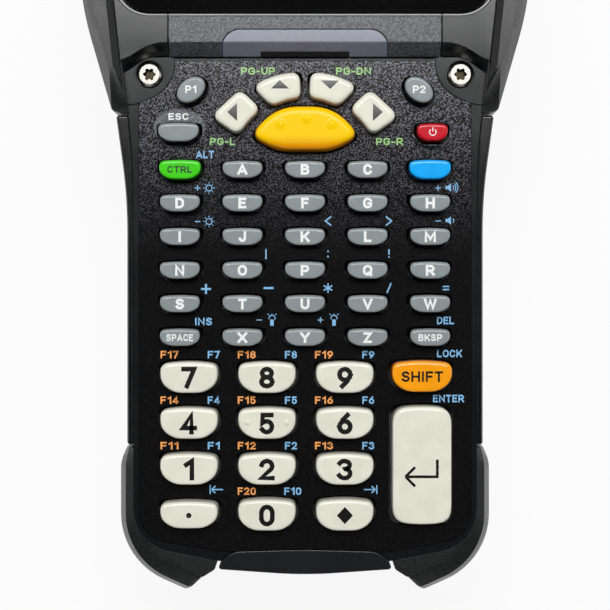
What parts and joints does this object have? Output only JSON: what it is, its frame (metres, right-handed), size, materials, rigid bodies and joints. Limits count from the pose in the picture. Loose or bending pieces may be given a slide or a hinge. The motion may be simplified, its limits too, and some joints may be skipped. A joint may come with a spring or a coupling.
{
  "type": "portable barcode data terminal",
  "caption": "Rugged hand-held barcode terminal with a full keypad, yellow scan key, display, rubber bumpers, scan window and battery pack.",
  "frame": {"origin": "middle of the floor under the terminal, which lies on its back", "axes": "+X to the right of the keypad, +Y towards the scanning head, +Z out of the keypad face"},
  "size_m": [0.0918, 0.234, 0.056],
  "materials": {
    "dark_housing": "fine moulded texture, dark slate grey",
    "dark_trim": "satin near-black",
    "keypad_face": "speckled grained black face",
    "cream_key": "satin cream",
    "grey_key": "satin grey",
    "yellow_key": "satin yellow",
    "red_key": "satin red",
    "green_key": "satin green",
    "blue_key": "satin blue",
    "orange_key": "satin orange",
    "lens": "smoky translucent",
    "screen_glass": "black-bordered glass",
    "display_panel": "dark panel",
    "foam": "closed-cell foam",
    "magnesium": "cast light alloy",
    "silicone": "moulded silicone",
    "circuit_board": "green board",
    "steel": "machine screws",
    "bumper_rubber": "textured rubber, grey",
    "grip_rubber": "smooth rubber, near-black",
    "connector_black": "glass-filled connector body",
    "red_window": "deep red filter window",
    "engine_case": "black engine case",
    "speaker_metal": "stamped can",
    "battery_case": "matt black case",
    "contact_brass": "gold-plated contacts"
  },
  "bodies": {
    "terminal": {"front_housing": "dark_housing", "rear_housing": "dark_housing", "bezel_strip": "dark_trim", "indicator_lens": "lens", "display_window": "screen_glass", "display_gasket": "foam", "display_module": "display_panel", "display_bracket": "magnesium", "keypad_plate": "keypad_face", "keypad_mat": "silicone", "keypad_board": "circuit_board", "keypad_screws": "steel", "head_bumper": "bumper_rubber", "side_grip_left": "grip_rubber", "side_grip_right": "grip_rubber", "foot_bumper_left": "bumper_rubber", "foot_bumper_right": "bumper_rubber", "tail_cover": "dark_trim", "cradle_connector": "connector_black", "scan_window": "red_window", "scan_engine": "engine_case", "main_board": "circuit_board", "speaker": "speaker_metal", "battery_pack": "battery_case", "battery_contacts": "contact_brass", "housing_screws": "steel"},
    "key_program_left": {"key_program_left": "grey_key"},
    "key_program_right": {"key_program_right": "grey_key"},
    "key_arrow_up": {"key_arrow_up": "cream_key"},
    "key_arrow_down": {"key_arrow_down": "cream_key"},
    "key_arrow_left": {"key_arrow_left": "cream_key"},
    "key_arrow_right": {"key_arrow_right": "cream_key"},
    "key_scan": {"key_scan": "yellow_key"},
    "key_escape": {"key_escape": "grey_key"},
    "key_power": {"key_power": "red_key"},
    "key_control": {"key_control": "green_key"},
    "key_function": {"key_function": "blue_key"},
    "key_row_a": {"key_row_a": "grey_key"},
    "key_row_b": {"key_row_b": "grey_key"},
    "key_row_c": {"key_row_c": "grey_key"},
    "key_row_d": {"key_row_d": "grey_key"},
    "key_row_e": {"key_row_e": "grey_key"},
    "key_row_f": {"key_row_f": "grey_key"},
    "key_seven": {"key_seven": "cream_key"},
    "key_eight": {"key_eight": "cream_key"},
    "key_nine": {"key_nine": "cream_key"},
    "key_four": {"key_four": "cream_key"},
    "key_five": {"key_five": "cream_key"},
    "key_six": {"key_six": "cream_key"},
    "key_one": {"key_one": "cream_key"},
    "key_two": {"key_two": "cream_key"},
    "key_three": {"key_three": "cream_key"},
    "key_point": {"key_point": "cream_key"},
    "key_zero": {"key_zero": "cream_key"},
    "key_diamond": {"key_diamond": "cream_key"},
    "key_shift": {"key_shift": "orange_key"},
    "key_enter": {"key_enter": "cream_key"},
    "side_scan_button_left": {"side_scan_button_left": "yellow_key"},
    "side_scan_button_right": {"side_scan_button_right": "yellow_key"},
    "battery_latch": {"battery_latch": "dark_trim"}
  },
  "joints": [
    {"name": "press_side_scan_button_left", "type": "slide", "parent": "terminal", "child": "side_scan_button_left", "axis": [1, 0, 0], "range_m": [0, 0.0012], "stiffness_N_per_m": 900},
    {"name": "press_side_scan_button_right", "type": "slide", "parent": "terminal", "child": "side_scan_button_right", "axis": [-1, 0, 0], "range_m": [0, 0.0012], "stiffness_N_per_m": 900},
    {"name": "slide_battery_latch", "type": "slide", "parent": "terminal", "child": "battery_latch", "axis": [0, 1, 0], "range_m": [0, 0.0025], "stiffness_N_per_m": 600},
    {"name": "press_program_left", "type": "slide", "parent": "terminal", "child": "key_program_left", "axis": [0, 0, -1], "range_m": [0, 0.001], "stiffness_N_per_m": 500},
    {"name": "press_program_right", "type": "slide", "parent": "terminal", "child": "key_program_right", "axis": [0, 0, -1], "range_m": [0, 0.001], "stiffness_N_per_m": 500},
    {"name": "press_arrow_up", "type": "slide", "parent": "terminal", "child": "key_arrow_up", "axis": [0, 0, -1], "range_m": [0, 0.001], "stiffness_N_per_m": 500},
    {"name": "press_arrow_down", "type": "slide", "parent": "terminal", "child": "key_arrow_down", "axis": [0, 0, -1], "range_m": [0, 0.001], "stiffness_N_per_m": 500},
    {"name": "press_arrow_left", "type": "slide", "parent": "terminal", "child": "key_arrow_left", "axis": [0, 0, -1], "range_m": [0, 0.001], "stiffness_N_per_m": 500},
    {"name": "press_arrow_right", "type": "slide", "parent": "terminal", "child": "key_arrow_right", "axis": [0, 0, -1], "range_m": [0, 0.001], "stiffness_N_per_m": 500},
    {"name": "press_scan", "type": "slide", "parent": "terminal", "child": "key_scan", "axis": [0, 0, -1], "range_m": [0, 0.001], "stiffness_N_per_m": 500},
    {"name": "press_escape", "type": "slide", "parent": "terminal", "child": "key_escape", "axis": [0, 0, -1], "range_m": [0, 0.001], "stiffness_N_per_m": 500},
    {"name": "press_power", "type": "slide", "parent": "terminal", "child": "key_power", "axis": [0, 0, -1], "range_m": [0, 0.001], "stiffness_N_per_m": 500},
    {"name": "press_control", "type": "slide", "parent": "terminal", "child": "key_control", "axis": [0, 0, -1], "range_m": [0, 0.001], "stiffness_N_per_m": 500},
    {"name": "press_function", "type": "slide", "parent": "terminal", "child": "key_function", "axis": [0, 0, -1], "range_m": [0, 0.001], "stiffness_N_per_m": 500},
    {"name": "press_row_a", "type": "slide", "parent": "terminal", "child": "key_row_a", "axis": [0, 0, -1], "range_m": [0, 0.001], "stiffness_N_per_m": 500},
    {"name": "press_row_b", "type": "slide", "parent": "terminal", "child": "key_row_b", "axis": [0, 0, -1], "range_m": [0, 0.001], "stiffness_N_per_m": 500},
    {"name": "press_row_c", "type": "slide", "parent": "terminal", "child": "key_row_c", "axis": [0, 0, -1], "range_m": [0, 0.001], "stiffness_N_per_m": 500},
    {"name": "press_row_d", "type": "slide", "parent": "terminal", "child": "key_row_d", "axis": [0, 0, -1], "range_m": [0, 0.001], "stiffness_N_per_m": 500},
    {"name": "press_row_e", "type": "slide", "parent": "terminal", "child": "key_row_e", "axis": [0, 0, -1], "range_m": [0, 0.001], "stiffness_N_per_m": 500},
    {"name": "press_row_f", "type": "slide", "parent": "terminal", "child": "key_row_f", "axis": [0, 0, -1], "range_m": [0, 0.001], "stiffness_N_per_m": 500},
    {"name": "press_seven", "type": "slide", "parent": "terminal", "child": "key_seven", "axis": [0, 0, -1], "range_m": [0, 0.001], "stiffness_N_per_m": 500},
    {"name": "press_eight", "type": "slide", "parent": "terminal", "child": "key_eight", "axis": [0, 0, -1], "range_m": [0, 0.001], "stiffness_N_per_m": 500},
    {"name": "press_nine", "type": "slide", "parent": "terminal", "child": "key_nine", "axis": [0, 0, -1], "range_m": [0, 0.001], "stiffness_N_per_m": 500},
    {"name": "press_four", "type": "slide", "parent": "terminal", "child": "key_four", "axis": [0, 0, -1], "range_m": [0, 0.001], "stiffness_N_per_m": 500},
    {"name": "press_five", "type": "slide", "parent": "terminal", "child": "key_five", "axis": [0, 0, -1], "range_m": [0, 0.001], "stiffness_N_per_m": 500},
    {"name": "press_six", "type": "slide", "parent": "terminal", "child": "key_six", "axis": [0, 0, -1], "range_m": [0, 0.001], "stiffness_N_per_m": 500},
    {"name": "press_one", "type": "slide", "parent": "terminal", "child": "key_one", "axis": [0, 0, -1], "range_m": [0, 0.001], "stiffness_N_per_m": 500},
    {"name": "press_two", "type": "slide", "parent": "terminal", "child": "key_two", "axis": [0, 0, -1], "range_m": [0, 0.001], "stiffness_N_per_m": 500},
    {"name": "press_three", "type": "slide", "parent": "terminal", "child": "key_three", "axis": [0, 0, -1], "range_m": [0, 0.001], "stiffness_N_per_m": 500},
    {"name": "press_point", "type": "slide", "parent": "terminal", "child": "key_point", "axis": [0, 0, -1], "range_m": [0, 0.001], "stiffness_N_per_m": 500},
    {"name": "press_zero", "type": "slide", "parent": "terminal", "child": "key_zero", "axis": [0, 0, -1], "range_m": [0, 0.001], "stiffness_N_per_m": 500},
    {"name": "press_diamond", "type": "slide", "parent": "terminal", "child": "key_diamond", "axis": [0, 0, -1], "range_m": [0, 0.001], "stiffness_N_per_m": 500},
    {"name": "press_shift", "type": "slide", "parent": "terminal", "child": "key_shift", "axis": [0, 0, -1], "range_m": [0, 0.001], "stiffness_N_per_m": 500},
    {"name": "press_enter", "type": "slide", "parent": "terminal", "child": "key_enter", "axis": [0, 0, -1], "range_m": [0, 0.001], "stiffness_N_per_m": 500}
  ]
}
